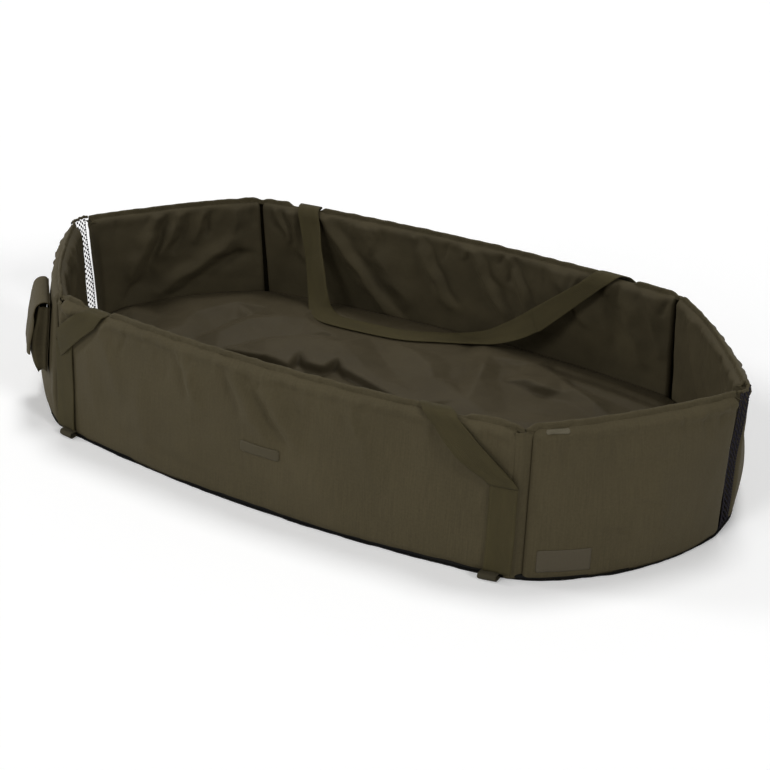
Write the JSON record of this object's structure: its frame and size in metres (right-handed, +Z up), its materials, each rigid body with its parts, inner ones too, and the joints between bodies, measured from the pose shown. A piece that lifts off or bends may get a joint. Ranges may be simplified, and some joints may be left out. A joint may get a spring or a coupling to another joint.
{
  "type": "unhooking mat",
  "caption": "Walled unhooking mat for a landed fish: padded fabric panels round a padded floor, with swinging loop handles, mesh drains, peg loops and a flap pocket",
  "frame": {"origin": "on the ground, under the middle of the floor", "axes": "+X along the length towards the right end, +Y towards the far side, +Z up; the near side with the bare badge faces -Y"},
  "size_m": [1.1628, 0.6278, 0.2203],
  "materials": {
    "outer_nylon": "matt olive woven nylon",
    "lining_nylon": "dark olive lining nylon",
    "binding_tape": "olive woven binding tape",
    "wall_foam": "soft wall foam, hidden",
    "floor_foam": "closed cell floor foam, hidden",
    "net": "black knitted mesh",
    "black_base": "black coated groundsheet",
    "mat_fabric": "padded mat in soft coated nylon",
    "cover_fabric": "soft coated nylon with a slight sheen",
    "webbing": "olive woven webbing",
    "peg_webbing": "narrow olive webbing",
    "hook_tape": "hook and loop tape",
    "badge_rubber": "bare soft badge",
    "label_fabric": "bare woven label",
    "tab_webbing": "pale woven tab"
  },
  "bodies": {
    "crib": {"near_side_skin": "outer_nylon", "near_side_foam": "wall_foam", "near_side_lining": "lining_nylon", "near_side_rim_binding": "binding_tape", "far_side_skin": "outer_nylon", "far_side_foam": "wall_foam", "far_side_lining": "lining_nylon", "far_side_rim_binding": "binding_tape", "near_right_end_skin": "outer_nylon", "near_right_end_foam": "wall_foam", "near_right_end_lining": "lining_nylon", "near_right_end_rim_binding": "binding_tape", "far_right_end_skin": "outer_nylon", "far_right_end_foam": "wall_foam", "far_right_end_lining": "lining_nylon", "far_right_end_rim_binding": "binding_tape", "near_left_end_skin": "outer_nylon", "near_left_end_foam": "wall_foam", "near_left_end_lining": "lining_nylon", "near_left_end_rim_binding": "binding_tape", "far_left_end_skin": "outer_nylon", "far_left_end_foam": "wall_foam", "far_left_end_lining": "lining_nylon", "far_left_end_rim_binding": "binding_tape", "near_right_end_corner_web": "outer_nylon", "far_right_end_corner_web": "outer_nylon", "near_left_end_corner_web": "outer_nylon", "far_left_end_corner_web": "outer_nylon", "groundsheet": "black_base", "base_welt": "black_base", "floor_foam": "floor_foam", "inner_mat": "mat_fabric", "floor_cover": "cover_fabric", "left_drain_net": "net", "right_drain_net": "net", "left_net_binding": "binding_tape", "right_net_binding": "binding_tape", "near_left_strap": "webbing", "near_left_peg_loop": "peg_webbing", "near_right_strap": "webbing", "near_right_peg_loop": "peg_webbing", "far_left_strap": "webbing", "far_left_peg_loop": "peg_webbing", "far_right_strap": "webbing", "far_right_peg_loop": "peg_webbing", "pocket_back": "outer_nylon", "pocket_gusset": "outer_nylon", "pocket_front": "outer_nylon", "pocket_loop_pad": "hook_tape", "badge_plate": "badge_rubber", "care_label": "label_fabric", "rim_tab": "tab_webbing"},
    "near_carry_loop": {"near_handle": "webbing"},
    "far_carry_loop": {"far_handle": "webbing"},
    "pocket_lid": {"pocket_flap": "outer_nylon", "pocket_hook_pad": "hook_tape"}
  },
  "joints": [
    {"name": "near_loop_swing", "type": "hinge", "parent": "crib", "child": "near_carry_loop", "pos_m": [0, -0.26615, 0.207], "axis": [1, 0, 0], "range_deg": [0, 275]},
    {"name": "far_loop_swing", "type": "hinge", "parent": "crib", "child": "far_carry_loop", "pos_m": [0, 0.26312, 0.207], "axis": [-1, 0, 0], "range_deg": [0, 275]},
    {"name": "pocket_lid_swing", "type": "hinge", "parent": "crib", "child": "pocket_lid", "pos_m": [-0.46217, -0.20586, 0.19029], "axis": [-0.6967, 0.7173, 0], "range_deg": [0, 85]}
  ]
}
